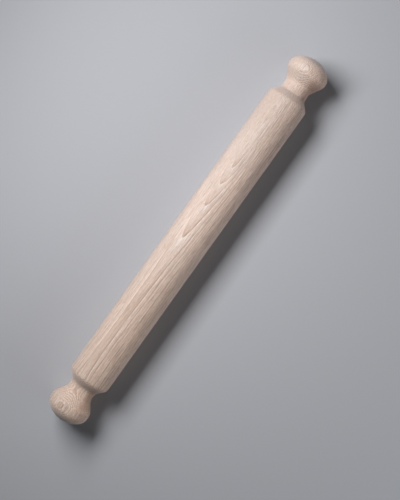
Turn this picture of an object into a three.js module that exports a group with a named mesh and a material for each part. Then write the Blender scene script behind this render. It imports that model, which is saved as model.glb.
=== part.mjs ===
// A wooden rolling pin of the plain, solid kind, turned from a single billet of beech.
// It has no axle, no bearings and no loose handles: the cook rolls the whole pin under
// the palms, or holds the waisted knobs at its ends.
//
// The pin lies along X with its middle at the origin, the left handle towards -X and the
// right one towards +X, and Z is up. Three named stretches of the one turning are modelled
// as separate solids that meet face to face where the shoulders run into the necks:
//   barrel         the long straight working part, with a sloped shoulder at each end
//   left_handle    neck, flank and domed knob
//   right_handle   the same by the turner's eye, its neck longer and its rim lower

import * as THREE from 'three';

// Barrel, in millimetres
const barrelDiameter = 45;
const barrelLength = 350; // from shoulder corner to shoulder corner
const cornerEase = 2.4; // how far the sanded rounding runs back from each corner

// Shoulders, the slopes that drop from the barrel to the necks
const shoulderLength = 8;
const shoulderFootDiameter = 30.4;

// Necks
const neckDiameter = 28.4; // at the thinnest

// Handles. Each knob is turned from the same round billet as the barrel and is only just
// below it, by its relief, so that the barrel alone meets the dough. Its rim, where the
// straight flank turns over into the knob, is a little lower still. Places are measured
// outwards from the shoulder's foot: the thin of the neck, the foot of the flank, the rim,
// the widest of the knob and the top of its crown.
const leftKnob = {
  relief: 0.05,
  rimDrop: 0.1,
  neckPlace: 5.6,
  flankFootPlace: 10,
  rimPlace: 22,
  widestPlace: 28.1,
  crownPlace: 42.3,
};
const rightKnob = {
  relief: 0.1,
  rimDrop: 0.9,
  neckPlace: 8.1,
  flankFootPlace: 9.6,
  rimPlace: 22.7,
  widestPlace: 28.1,
  crownPlace: 42.8,
};
const rimEase = 2; // how far the sanded rounding runs back from each rim

// How hard the dome of a crown is pulled along its tangents
const crownSideShare = 0.455; // of the crown's height
const crownFlatShare = 0.53; // of the knob's radius

// Fineness of the turned surfaces
const sides = 64;
const curveSteps = 8;

const wood = { color: 0xd4bcab, roughness: 0.7, metalness: 0 };

// Turns an outline about the Y axis. An outline holds (radius, place along the axis) points
// and starts and ends on the axis. The first side is turned by half a side, so that a flat
// one, and not an edge, lies undermost.
function turn(name, outline) {
  const geometry = new THREE.LatheGeometry(outline, sides, Math.PI / sides);
  const mesh = new THREE.Mesh(geometry, new THREE.MeshStandardMaterial(wood));
  mesh.name = name;
  return mesh;
}

// The barrel's outline: foot face, slope, rounded corner, straight side, and the same mirrored.
function barrelOutline() {
  const radius = barrelDiameter / 2;
  const footRadius = shoulderFootDiameter / 2;
  const end = barrelLength + 2 * shoulderLength;
  const slope = new THREE.Vector2(footRadius - radius, shoulderLength).setLength(cornerEase);

  const path = new THREE.Path();
  path.moveTo(0, 0);
  path.lineTo(footRadius, 0);
  path.lineTo(radius + slope.x, shoulderLength - slope.y);
  path.quadraticCurveTo(radius, shoulderLength, radius, shoulderLength + cornerEase);
  path.lineTo(radius, end - shoulderLength - cornerEase);
  path.quadraticCurveTo(radius, end - shoulderLength, radius + slope.x, end - shoulderLength + slope.y);
  path.lineTo(footRadius, end);
  path.lineTo(0, end);
  return path.getPoints(curveSteps);
}

// A handle's outline: the face against the barrel, the hollow down to the thin of the neck,
// the straight flank, the eased rim, the nearly level belt up to the widest of the knob, and
// the low dome that closes it.
function handleOutline(knob) {
  const footRadius = shoulderFootDiameter / 2;
  const neckRadius = neckDiameter / 2;
  const knobRadius = barrelDiameter / 2 - knob.relief;
  const flankFoot = new THREE.Vector2(neckRadius, knob.flankFootPlace);
  const rim = new THREE.Vector2(knobRadius - knob.rimDrop, knob.rimPlace);
  const belt = new THREE.Vector2(knobRadius, (knob.rimPlace + knob.widestPlace) / 2);
  const crownSide = knob.widestPlace + crownSideShare * (knob.crownPlace - knob.widestPlace);

  // The point at a distance from one corner towards another
  const towards = (corner, other, distance) =>
    other.clone().sub(corner).setLength(distance).add(corner);
  const flankStart = towards(flankFoot, rim, knob.flankFootPlace - knob.neckPlace);
  const belowRim = towards(rim, flankFoot, rimEase);
  const beyondRim = towards(rim, belt, rimEase);

  const path = new THREE.Path();
  path.moveTo(0, 0);
  path.lineTo(footRadius, 0);
  path.quadraticCurveTo(neckRadius, knob.neckPlace / 2, neckRadius, knob.neckPlace);
  path.quadraticCurveTo(flankFoot.x, flankFoot.y, flankStart.x, flankStart.y);
  path.lineTo(belowRim.x, belowRim.y);
  path.quadraticCurveTo(rim.x, rim.y, beyondRim.x, beyondRim.y);
  path.quadraticCurveTo(belt.x, belt.y, knobRadius, knob.widestPlace);
  path.bezierCurveTo(
    knobRadius, crownSide,
    crownFlatShare * knobRadius, knob.crownPlace,
    0, knob.crownPlace,
  );
  return path.getPoints(curveSteps);
}

// Places along the axis, counted from the middle of the whole pin
const barrelSpan = barrelLength + 2 * shoulderLength;
const wholeLength = leftKnob.crownPlace + barrelSpan + rightKnob.crownPlace;
const leftFoot = leftKnob.crownPlace - wholeLength / 2;
const rightFoot = leftFoot + barrelSpan;

const barrel = turn('barrel', barrelOutline());
barrel.position.y = leftFoot;

const leftHandle = turn('left_handle', handleOutline(leftKnob));
leftHandle.position.y = leftFoot;
leftHandle.rotation.z = Math.PI;

const rightHandle = turn('right_handle', handleOutline(rightKnob));
rightHandle.position.y = rightFoot;

// The turning axis is laid down along X
const rollingPin = new THREE.Group();
rollingPin.add(barrel, leftHandle, rightHandle);
rollingPin.rotation.z = -Math.PI / 2;

export default rollingPin;
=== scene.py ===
import math

import bpy
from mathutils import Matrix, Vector
from mathutils.geometry import interpolate_bezier


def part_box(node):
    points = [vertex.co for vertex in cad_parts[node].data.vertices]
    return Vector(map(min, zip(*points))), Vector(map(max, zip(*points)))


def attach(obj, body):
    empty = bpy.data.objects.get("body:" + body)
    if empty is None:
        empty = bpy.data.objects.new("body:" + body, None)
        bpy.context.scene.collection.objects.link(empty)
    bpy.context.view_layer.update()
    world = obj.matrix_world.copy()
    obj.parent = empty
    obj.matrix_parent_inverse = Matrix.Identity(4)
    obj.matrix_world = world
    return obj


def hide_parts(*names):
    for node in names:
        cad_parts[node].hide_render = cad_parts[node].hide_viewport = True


# A plain wooden rolling pin on a pale tabletop. The whole pin is one billet of beech, so it
# has no axle and no loose handles. It lies along X with its middle at the origin, in metres.
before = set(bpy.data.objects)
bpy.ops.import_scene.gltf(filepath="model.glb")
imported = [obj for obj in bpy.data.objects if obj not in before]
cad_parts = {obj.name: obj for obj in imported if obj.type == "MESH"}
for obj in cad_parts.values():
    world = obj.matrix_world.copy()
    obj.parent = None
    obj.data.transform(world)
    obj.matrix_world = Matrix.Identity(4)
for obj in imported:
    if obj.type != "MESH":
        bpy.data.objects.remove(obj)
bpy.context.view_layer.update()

# Barrel
# The long straight roller with a sloped shoulder at each end. It is turned between centres
# from the beech billet, sanded along the grain and left bare.
barrel_radius = 0.0225
shoulder_length = 0.008
shoulder_foot_radius = 0.0152
corner_ease = 0.0024
barrel_low, barrel_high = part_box("barrel")
barrel_sides = 192
curve_steps = 14
merge_distance = 0.000002
smooth_below = math.radians(28)


def curve(start, start_pull, end_pull, end):
    """Points along one curve of a turned outline, without its first point."""
    ends = [Vector((*point, 0)) for point in (start, start_pull, end_pull, end)]
    return [(point.x, point.y) for point in interpolate_bezier(*ends, curve_steps)[1:]]


def turn(name, outline):
    """Draws an outline of (x, radius) points and turns it about the X axis, as on a lathe."""
    points = [Vector((x, 0, radius)) for x, radius in outline]
    bpy.ops.object.select_all(action="DESELECT")
    bpy.ops.mesh.primitive_plane_add(size=barrel_radius, location=(0, 0, 0))
    turned = bpy.context.object
    turned.name = turned.data.name = name
    bpy.ops.object.mode_set(mode="EDIT")
    bpy.ops.mesh.select_mode(type="VERT")
    bpy.ops.mesh.merge(type="CENTER")
    bpy.ops.transform.translate(value=points[0])
    for here, there in zip(points, points[1:]):
        bpy.ops.mesh.extrude_region_move(TRANSFORM_OT_translate={"value": there - here})
    bpy.ops.mesh.select_all(action="SELECT")
    bpy.ops.mesh.spin(steps=barrel_sides, angle=math.tau, center=(0, 0, 0), axis=(1, 0, 0))
    bpy.ops.mesh.select_all(action="SELECT")
    bpy.ops.mesh.remove_doubles(threshold=merge_distance)
    bpy.ops.mesh.normals_make_consistent(inside=False)
    bpy.ops.object.mode_set(mode="OBJECT")
    bpy.ops.object.shade_smooth_by_angle(angle=smooth_below)
    return turned


def towards(corner, other, distance):
    """The point at a distance from one corner towards another."""
    return corner + (other - corner).normalized() * distance


def rounded(start, corner, end):
    """Points over a corner that is cut back to its start and end, without the start."""
    pull = 2 / 3
    return curve(start, start + pull * (corner - start), end + pull * (corner - end), end)


def shoulder(foot_x, way):
    """The outline from a shoulder's foot up its slope and over the eased corner."""
    foot = Vector((foot_x, shoulder_foot_radius))
    corner = Vector((foot_x + way * shoulder_length, barrel_radius))
    below = towards(corner, foot, corner_ease)
    beyond = corner + Vector((way * corner_ease, 0))
    return [foot, below, *rounded(below, corner, beyond)]


barrel_outline = [
    (barrel_low.x, 0),
    *shoulder(barrel_low.x, 1),
    *reversed(shoulder(barrel_high.x, -1)),
    (barrel_high.x, 0),
]
barrel = turn("barrel_wood", barrel_outline)

# The beech itself, one figure through the whole billet. The yearly layers face upwards,
# rolled a little towards +Y, and climb and dip along the pin. Each layer ends in a thin
# darker line, and pores and ray flecks run through it.
beech = bpy.data.materials.new("beech")
beech.use_nodes = True
beech_nodes = beech.node_tree.nodes
beech_nodes.clear()


def node(kind, inputs=(), **settings):
    """Adds a node to the beech. The inputs are values or sockets by name or number."""
    made = beech_nodes.new("ShaderNode" + kind)
    for name, value in settings.items():
        setattr(made, name, value)
    for name, value in dict(inputs).items():
        if isinstance(value, bpy.types.NodeSocket):
            beech.node_tree.links.new(value, made.inputs[name])
        else:
            made.inputs[name].default_value = value
    return made


def calc(operation, *values):
    """One sum on values or sockets."""
    return node("Math", enumerate(values), operation=operation).outputs[0]


def spread(value, low, high, new_low=0, new_high=1, smooth=False):
    """Carries a range of values over to another range."""
    kind = "SMOOTHSTEP" if smooth else "LINEAR"
    ranges = {"Value": value, 1: low, 2: high, 3: new_low, 4: new_high}
    return node("MapRange", ranges, interpolation_type=kind).outputs[0]


def ramp(value, *stops, stepped=False):
    """Reads a value off a ramp of (place, level) stops."""
    made = node("ValToRGB", {0: value})
    made.color_ramp.interpolation = "CONSTANT" if stepped else "LINEAR"
    elements = made.color_ramp.elements
    while len(elements) < len(stops):
        elements.new(0.5)
    for element, (place, level) in zip(elements, stops):
        element.position = place
        element.color = (level, level, level, 1)
    return made.outputs["Color"]


def blend(share, under, over, kind="MIX"):
    """One colour laid over another, never brighter than white."""
    inputs = {0: share, 6: under, 7: over}
    made = node("Mix", inputs, data_type="RGBA", blend_type=kind, clamp_result=True)
    return made.outputs[2]


# Places in millimetres, with the layers' own directions: out through them, and along them
object_place = node("TexCoord").outputs["Object"]
in_millimetres = node("VectorMath", {0: object_place, 3: 1000}, operation="SCALE").outputs[0]
pin_place, pin_side = node("SeparateXYZ", {0: in_millimetres}).outputs[:2]
out_from_middle = calc("ABSOLUTE", pin_place)
left_roll = spread(pin_place, -160, -20, math.radians(22.5), math.radians(17.8))
right_roll = spread(pin_place, 90, 200, 0, math.radians(2))
rolled = node(
    "VectorRotate",
    {"Vector": in_millimetres, "Angle": calc("ADD", left_roll, right_roll)},
    rotation_type="X_AXIS",
).outputs[0]
across, through = node("SeparateXYZ", {0: rolled}).outputs[1:]


def speckle(x_scale, y_scale, z_scale, detail=2, roughness=0.5):
    """Soft noise about 0.5 in the rolled wood. A small scale draws it out along that way."""
    scales = {0: rolled, 1: (x_scale, y_scale, z_scale)}
    drawn_out = node("VectorMath", scales, operation="MULTIPLY").outputs[0]
    inputs = {"Vector": drawn_out, "Scale": 1, "Detail": detail, "Roughness": roughness}
    return node("TexNoise", inputs).outputs["Fac"]


# The climb of the layers along the pin, read at places where a line crosses the wood
pin_reach = 230
most_climb = 5
layer_climb = [
    (-230.0, 1.46),
    (-209.0, 1.4),
    (-193.4, 1.37),
    (-182.0, 0.95),
    (-163.0, 0.39),
    (-147.6, 0.17),
    (-117.0, 0.1),
    (-101.5, 0.08),
    (-70.7, 0.2),
    (-55.0, 0.25),
    (-40.0, 0.36),
    (-24.5, 0.59),
    (-9.0, 0.93),
    (1.6, 1.19),
    (21.7, 1.72),
    (40.6, 2.32),
    (66.7, 3.2),
    (87.2, 3.92),
    (113.0, 4.3),
    (144.0, 4.52),
    (152.5, 4.62),
    (161.3, 4.52),
    (175.2, 3.5),
    (191.5, 2.33),
    (211.0, 1.1),
    (230.0, 0.1),
]


def along_pin(readings, most):
    """Carries readings (x in millimetres, value) from place to place along the pin."""
    made = node("FloatCurve", {"Value": spread(pin_place, -pin_reach, pin_reach)})
    line = made.mapping.curves[0]
    while len(line.points) < len(readings):
        line.points.new(0.5, 0.5)
    for point, (x, value) in zip(line.points, readings):
        point.location = ((x + pin_reach) / (2 * pin_reach), value / most)
    made.mapping.extend = "HORIZONTAL"
    made.mapping.update()
    return calc("MULTIPLY", made.outputs[0], most)


climb = along_pin(layer_climb, most_climb)

# Counting the layers, from one near the top of the barrel. The count is whole where one
# ends and the next begins, and outwards the layers crowd together.
first_layer_height = 22.22
waver_height = 0.22
inner_layers_each_mm = 0.735
outer_layers_each_mm = 0.679
outer_crowding = 0.01615
waver_noise = speckle(0.03, 0.11, 0.11, detail=3)
waver = calc("MULTIPLY", calc("SUBTRACT", waver_noise, 0.5), waver_height)
height_in_layers = calc("SUBTRACT", calc("ADD", through, climb), first_layer_height)
height_in_layers = calc("ADD", height_in_layers, waver)
outer_layers = calc("MAXIMUM", height_in_layers, 0)
inner_layers = calc("MINIMUM", height_in_layers, 0)
crowding = calc("MULTIPLY", calc("POWER", outer_layers, 3), outer_crowding)
layer_count = calc("MULTIPLY_ADD", outer_layers, outer_layers_each_mm, crowding)
layer_count = calc("MULTIPLY_ADD", inner_layers, inner_layers_each_mm, layer_count)
layer_share = calc("FRACT", layer_count)
layer_number = calc("FLOOR", layer_count)

# Within a layer the wood starts dark, soon clears, and is palest just before the next.
# The deeper layers have the broader lines.
line_place = calc("MULTIPLY", layer_share, spread(layer_count, -5, 0, 0.45, 1))
layer_line = ramp(
    line_place,
    (0.0, 1.0),
    (0.06, 1.0),
    (0.14, 0.55),
    (0.28, 0.2),
    (0.5, 0.0),
)
layer_light = ramp(
    layer_share,
    (0.6, 0.0),
    (0.8, 0.5),
    (0.93, 1.0),
)

# Some years leave a stronger line than others. The strong ones are set by their number.
lowest_marked, highest_marked = -13, 6
layer_noise = node("TexWhiteNoise", {"W": layer_number}, noise_dimensions="1D").outputs["Value"]
deep_layer = spread(layer_noise, 0, 1, 0.35, 0.9)
below_marked = calc("LESS_THAN", layer_number, lowest_marked + 0.5)
deep_layer = calc("MULTIPLY", deep_layer, below_marked)
marked_place = spread(calc("ADD", layer_number, 0.5), lowest_marked, highest_marked)
inner_years = [0.0, 0.3, 1.0, 0.3, 1.0, 0.3, 1.0, 0.3, 0.4, 0.95, 0.4, 0.6, 1.0]
outer_years = [1.0, 1.0, 0.85, 0.95, 0.8, 0.7]
years = inner_years + outer_years
year_span = highest_marked - lowest_marked
year_stops = [(number / year_span, strength) for number, strength in enumerate(years)]
marked_layer = ramp(marked_place, *year_stops, stepped=True)
end_layer = spread(out_from_middle, 183, 192, 0, 0.95)
layer_strength = calc("MAXIMUM", calc("MAXIMUM", marked_layer, deep_layer), end_layer)

# The lines come and go along the pin and are weaker towards +Y. Two stretches are calm,
# one near the right end of the barrel and one at the right neck.
fade_noise = speckle(0.035, 0.25, 0.25)
along_fade = spread(fade_noise, 0.3, 0.7, 0.6, 1.1)
far_side = spread(across, -2, 4, smooth=True)
far_fading = calc("MULTIPLY", far_side, spread(pin_place, -40, 10, -0.3, -0.65))
layer_strength = calc("MULTIPLY", layer_strength, along_fade)
layer_strength = calc("MULTIPLY", layer_strength, calc("ADD", far_fading, 1))
right_calm = calc("MULTIPLY", spread(pin_place, 85, 112), spread(pin_place, 188, 170))
right_calm = calc("MULTIPLY", right_calm, spread(layer_count, -3, 0, 0, 0.5))
neck_calm = calc("MULTIPLY", spread(pin_place, 175, 181, 0, 0.8), spread(pin_place, 197, 191))
calm = calc("MAXIMUM", right_calm, neck_calm)
layer_strength = calc("MULTIPLY", layer_strength, calc("SUBTRACT", 1, calm))

# Pores are hair-fine, a few millimetres long. Rays are thin upright sheets that reach out
# through the layers: short flecks from above, broad ones on the sides, lines on end grain.
pore_noise = speckle(0.22, 2.2, 2.2)
pores = spread(pore_noise, 0.52, 0.7, smooth=True)
streak_noise = speckle(0.05, 1.3, 1.3, detail=4, roughness=0.66)
ray_noise = speckle(0.42, 1.4, 0.22, detail=1)
rays = spread(ray_noise, 0.58, 0.72, smooth=True)
mottle_noise = speckle(0.012, 0.06, 0.06)

# The wood's colours, laid over each other from the body of a layer to the pores and rays.
# Streaks and pores show most on the -Y side and the knobs, least on the right's +Y side.
pale_wood = (0.77, 0.655, 0.58, 1)
body_wood = (0.7, 0.56, 0.475, 1)
tan_wood = (0.61, 0.46, 0.38, 1)
line_wood = (0.42, 0.25, 0.165, 1)
most_line, most_light = 0.88, 0.95
least_pore, most_pore = 0.42, 0.6
most_ray = 0.42
colour = blend(spread(mottle_noise, 0.3, 0.7, 0.1, 0.8), body_wood, tan_wood)
line_share = calc("MULTIPLY", layer_line, layer_strength)
colour = blend(calc("MULTIPLY", line_share, most_line), colour, line_wood)
light_share = calc("MULTIPLY", layer_light, layer_strength)
colour = blend(calc("MULTIPLY", light_share, most_light), colour, pale_wood)
streak_shade = ramp(streak_noise, (0.28, 0.52), (0.5, 1.0), (0.72, 1.36))
least_streak = 0.67
streak_share = spread(pin_side, 2, -14, least_streak, 1)
knob_streaks = spread(out_from_middle, 186, 196, least_streak, 1)
streak_share = calc("MAXIMUM", streak_share, knob_streaks)
quiet = calc("MULTIPLY", far_side, spread(pin_place, 60, 110))
streak_share = calc("MULTIPLY", streak_share, calc("MULTIPLY_ADD", quiet, -0.75, 1))
colour = blend(streak_share, colour, streak_shade, "MULTIPLY")
pore_share = calc("MULTIPLY", pores, spread(pin_side, 2, -14, least_pore, most_pore))
colour = blend(pore_share, colour, line_wood)
colour = blend(calc("MULTIPLY", rays, most_ray), colour, line_wood)

# Each stretch of the turning has its own tone, partly the wood's own and partly painted light.
# The barrel is palest in the middle. The slopes and flanks that face away from the lamp and the
# outer edges of the crowns are darker with painted shade, and the left flank and the right
# crown are lighter with a painted highlight. The wood is cooler to the right. The -Y side is
# lighter and pinker with painted fill light, and the hollows of the handles are darker there
# with painted shade.
cooler_tint = (0.99, 1.005, 1.045, 1)
painted_fill_tint = (1.19, 1.11, 1.06, 1)
painted_shade_tint = (0.72, 0.63, 0.58, 1)
most_tone = 1.3
# Painted shade and painted highlight along the pin, with some of the wood's own tone
tones_and_painted_light = [
    (-230.0, 0.4),
    (-225.0, 0.42),
    (-221.0, 0.66),
    (-217.0, 1.03),
    (-205.0, 1.05),
    (-190.0, 1.12),
    (-185.4, 1.03),
    (-183.4, 0.83),
    (-179.4, 0.78),
    (-177.0, 1.0),
    (-20.0, 1.06),
    (35.0, 1.11),
    (90.0, 1.03),
    (145.0, 0.96),
    (178.0, 0.96),
    (181.5, 0.92),
    (187.0, 1.09),
    (193.0, 1.08),
    (199.0, 0.87),
    (203.4, 0.9),
    (207.0, 1.05),
    (211.0, 1.04),
    (216.0, 1.15),
    (220.0, 0.95),
    (224.0, 0.78),
    (230.0, 0.6),
]
tone_and_painted_light = along_pin(tones_and_painted_light, most_tone)
colour = node("VectorMath", {0: colour, 3: tone_and_painted_light}, operation="SCALE").outputs[0]
cooler = spread(pin_place, -110, 30)
colour = blend(cooler, colour, cooler_tint, "MULTIPLY")
# Painted fill light: the shaded -Y side is made lighter and pinker
painted_fill_side = spread(pin_side, 6, -18, smooth=True)
colour = blend(painted_fill_side, colour, painted_fill_tint, "MULTIPLY")
# Painted shade: the hollows of the handles are darkened on the -Y side
past_corner = spread(out_from_middle, 177, 184)
before_rim = spread(out_from_middle, 208, 200)
painted_hollow_shade = calc("MULTIPLY", past_corner, before_rim)
painted_hollow_shade = calc("MULTIPLY", painted_hollow_shade, spread(pin_side, -4, -12, smooth=True))
colour = blend(painted_hollow_shade, colour, painted_shade_tint, "MULTIPLY")

# The surface. Pores are sunk most, rays a little, and sanding leaves the streaks just felt.
grain_depth = 0.00012
pore_height, ray_height, streak_height = -0.6, -0.2, 0.4
least_rough, most_rough, pore_rough = 0.64, 0.74, 0.08
grain_height = calc("MULTIPLY_ADD", pores, pore_height, calc("MULTIPLY", rays, ray_height))
grain_height = calc("MULTIPLY_ADD", streak_noise, streak_height, grain_height)
bumped = node("Bump", {"Strength": 0.6, "Distance": grain_depth, "Height": grain_height})
sanded = spread(streak_noise, 0.3, 0.7, most_rough, least_rough)
surface = node(
    "BsdfPrincipled",
    {
        "Base Color": colour,
        "Roughness": calc("MULTIPLY_ADD", pores, pore_rough, sanded),
        "Normal": bumped.outputs[0],
        "Sheen Weight": 0.4,
        "Sheen Roughness": 0.5,
    },
)
node("OutputMaterial", {"Surface": surface.outputs[0]})

barrel.data.materials.append(beech)
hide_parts("barrel")
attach(barrel, "root")

# Handles
# Each end of the billet is turned down to a hollow neck, then swells along a straight flank
# to an eased rim and a low domed knob. They were turned by eye: the right neck is longer
# and its knob's rim sits lower.
neck_radius = 0.0142
rim_ease = 0.002
crown_side_share = 0.455
crown_flat_share = 0.53


def handle(node_name, foot_x, crown_x, knob_drop, rim_drop, neck, flank_foot, rim, widest):
    """One neck and knob. Its places are counted outwards from the shoulder's foot."""
    way = math.copysign(1, crown_x - foot_x)
    crown = abs(crown_x - foot_x)
    knob_radius = barrel_radius - knob_drop
    foot_point = Vector((0, shoulder_foot_radius))
    neck_point = Vector((neck, neck_radius))
    flank_point = Vector((flank_foot, neck_radius))
    rim_point = Vector((rim, knob_radius - rim_drop))
    belt_point = Vector(((rim + widest) / 2, knob_radius))
    widest_point = Vector((widest, knob_radius))
    flank_start = towards(flank_point, rim_point, flank_foot - neck)
    below_rim = towards(rim_point, flank_point, rim_ease)
    beyond_rim = towards(rim_point, belt_point, rim_ease)
    crown_side = (widest + crown_side_share * (crown - widest), knob_radius)
    crown_flat = (crown, crown_flat_share * knob_radius)
    outline = [
        (0, 0),
        foot_point,
        *rounded(foot_point, Vector((neck / 2, neck_radius)), neck_point),
        *rounded(neck_point, flank_point, flank_start),
        below_rim,
        *rounded(below_rim, rim_point, beyond_rim),
        *rounded(beyond_rim, belt_point, widest_point),
        *curve(widest_point, crown_side, crown_flat, (crown, 0)),
    ]
    turned = turn(f"{node_name}_wood", [(foot_x + way * x, radius) for x, radius in outline])
    turned.data.materials.append(beech)
    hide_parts(node_name)
    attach(turned, "root")


left_crown, left_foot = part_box("left_handle")
right_foot, right_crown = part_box("right_handle")
left_drops = {"knob_drop": 0.00005, "rim_drop": 0.0001}
right_drops = {"knob_drop": 0.0001, "rim_drop": 0.0009}
left_places = {"neck": 0.0056, "flank_foot": 0.01, "rim": 0.022, "widest": 0.0281}
right_places = {"neck": 0.0081, "flank_foot": 0.0096, "rim": 0.0227, "widest": 0.0281}
handle("left_handle", left_foot.x, left_crown.x, **left_drops, **left_places)
handle("right_handle", right_foot.x, right_crown.x, **right_drops, **right_places)

# Tabletop
# A plain matte board in a cool pale grey, which the pin lies on. Well away from the pin it
# passes softly into the backdrop, for the camera alone.
board_grey = (0.525, 0.532, 0.566, 1)
backdrop_grey = (0.45, 0.455, 0.48, 1)
table_size = 12
fade_start, fade_end = 0.355, 0.5
bpy.ops.object.select_all(action="DESELECT")
bpy.ops.mesh.primitive_plane_add(size=table_size, location=(0, 0, 0))
tabletop = bpy.context.object
tabletop.name = "tabletop"
bpy.ops.object.mode_set(mode="EDIT")
bpy.ops.transform.translate(value=(0, 0, -barrel_radius))
bpy.ops.object.mode_set(mode="OBJECT")
board = bpy.data.materials.new("grey_board")
board.use_nodes = True
board_surface = board.node_tree.nodes["Principled BSDF"]
board_surface.inputs["Base Color"].default_value = board_grey
board_surface.inputs["Roughness"].default_value = 0.9
board_surface.inputs["Specular IOR Level"].default_value = 0.2
board_nodes, board_links = board.node_tree.nodes, board.node_tree.links
board_place = board_nodes.new("ShaderNodeTexCoord")
from_middle = board_nodes.new("ShaderNodeVectorMath")
from_middle.operation = "LENGTH"
board_links.new(board_place.outputs["Object"], from_middle.inputs[0])
fade = board_nodes.new("ShaderNodeMapRange")
fade.interpolation_type = "SMOOTHSTEP"
fade.inputs[1].default_value = fade_start
fade.inputs[2].default_value = fade_end
board_links.new(from_middle.outputs["Value"], fade.inputs["Value"])
seen_board = board_nodes.new("ShaderNodeLightPath")
fade_seen = board_nodes.new("ShaderNodeMath")
fade_seen.operation = "MULTIPLY"
board_links.new(fade.outputs[0], fade_seen.inputs[0])
board_links.new(seen_board.outputs["Is Camera Ray"], fade_seen.inputs[1])
far_board = board_nodes.new("ShaderNodeEmission")
far_board.inputs["Color"].default_value = backdrop_grey
board_mix = board_nodes.new("ShaderNodeMixShader")
board_links.new(fade_seen.outputs[0], board_mix.inputs[0])
board_links.new(board_surface.outputs[0], board_mix.inputs[1])
board_links.new(far_board.outputs[0], board_mix.inputs[2])
board_links.new(board_mix.outputs[0], board_nodes["Material Output"].inputs["Surface"])
tabletop.data.materials.append(board)

# Lamps
# One wide soft lamp stands beside the pin, about half a metre up. A tall white card stands
# across from it and lifts the shaded side a little, and the room adds very little.
lamp_watts, card_watts = 7.1, 2.3
lamp_tint, card_tint = (1, 1, 1), (0.94, 1, 1.03)
room_grey = (0.008, 0.008, 0.008, 1)


def lamp(name, width, height, watts, tint, place, aim):
    """A soft lamp that lights the scene and isn't seen itself."""
    data = bpy.data.lights.new(name, "AREA")
    data.shape = "RECTANGLE"
    data.size = width
    data.size_y = height
    data.energy = watts
    data.color = tint
    made = bpy.data.objects.new(name, data)
    bpy.context.collection.objects.link(made)
    made.location = place
    made.rotation_euler = Vector(aim).to_track_quat("-Z", "Y").to_euler()
    made.visible_camera = False


lamp_place, lamp_aim = (0.12, 0.409, 0.516), (0, -0.98, -0.12)
card_place, card_aim = (0, -0.85, 0.22), (0, 1, -0.1)
lamp("soft_lamp", 0.5, 0.33, lamp_watts, lamp_tint, lamp_place, lamp_aim)
lamp("white_card", 0.75, 0.46, card_watts, card_tint, card_place, card_aim)

room = bpy.data.worlds.new("room")
room.use_nodes = True
bpy.context.scene.world = room
room_nodes = room.node_tree.nodes
fill = room_nodes["Background"]
fill.inputs["Color"].default_value = room_grey
backdrop = room_nodes.new("ShaderNodeBackground")
backdrop.inputs["Color"].default_value = backdrop_grey
seen = room_nodes.new("ShaderNodeLightPath")
seen_or_mirrored = room_nodes.new("ShaderNodeMath")
seen_or_mirrored.operation = "MAXIMUM"
choose = room_nodes.new("ShaderNodeMixShader")
room_links = room.node_tree.links
room_links.new(seen.outputs["Is Camera Ray"], seen_or_mirrored.inputs[0])
room_links.new(seen.outputs["Is Glossy Ray"], seen_or_mirrored.inputs[1])
room_links.new(seen_or_mirrored.outputs[0], choose.inputs[0])
room_links.new(fill.outputs[0], choose.inputs[1])
room_links.new(backdrop.outputs[0], choose.inputs[2])
room_links.new(choose.outputs[0], room_nodes["World Output"].inputs["Surface"])

# Camera
# It looks straight down from about a metre. The frame reaches a little further below the
# point under the lens than above it, which the shift gives.
camera_data = bpy.data.cameras.new("camera")
camera_data.sensor_width = 36
camera_data.lens = 71.28
camera_data.shift_y = -0.1
camera_data.clip_start = 0.01
camera = bpy.data.objects.new("camera", camera_data)
bpy.context.collection.objects.link(camera)
camera.location = (0.0400, 0.0141, 1.0164)
camera.rotation_euler = (0, 0, math.radians(-54.46))
bpy.context.scene.camera = camera
bpy.context.scene.view_settings.view_transform = "Standard"
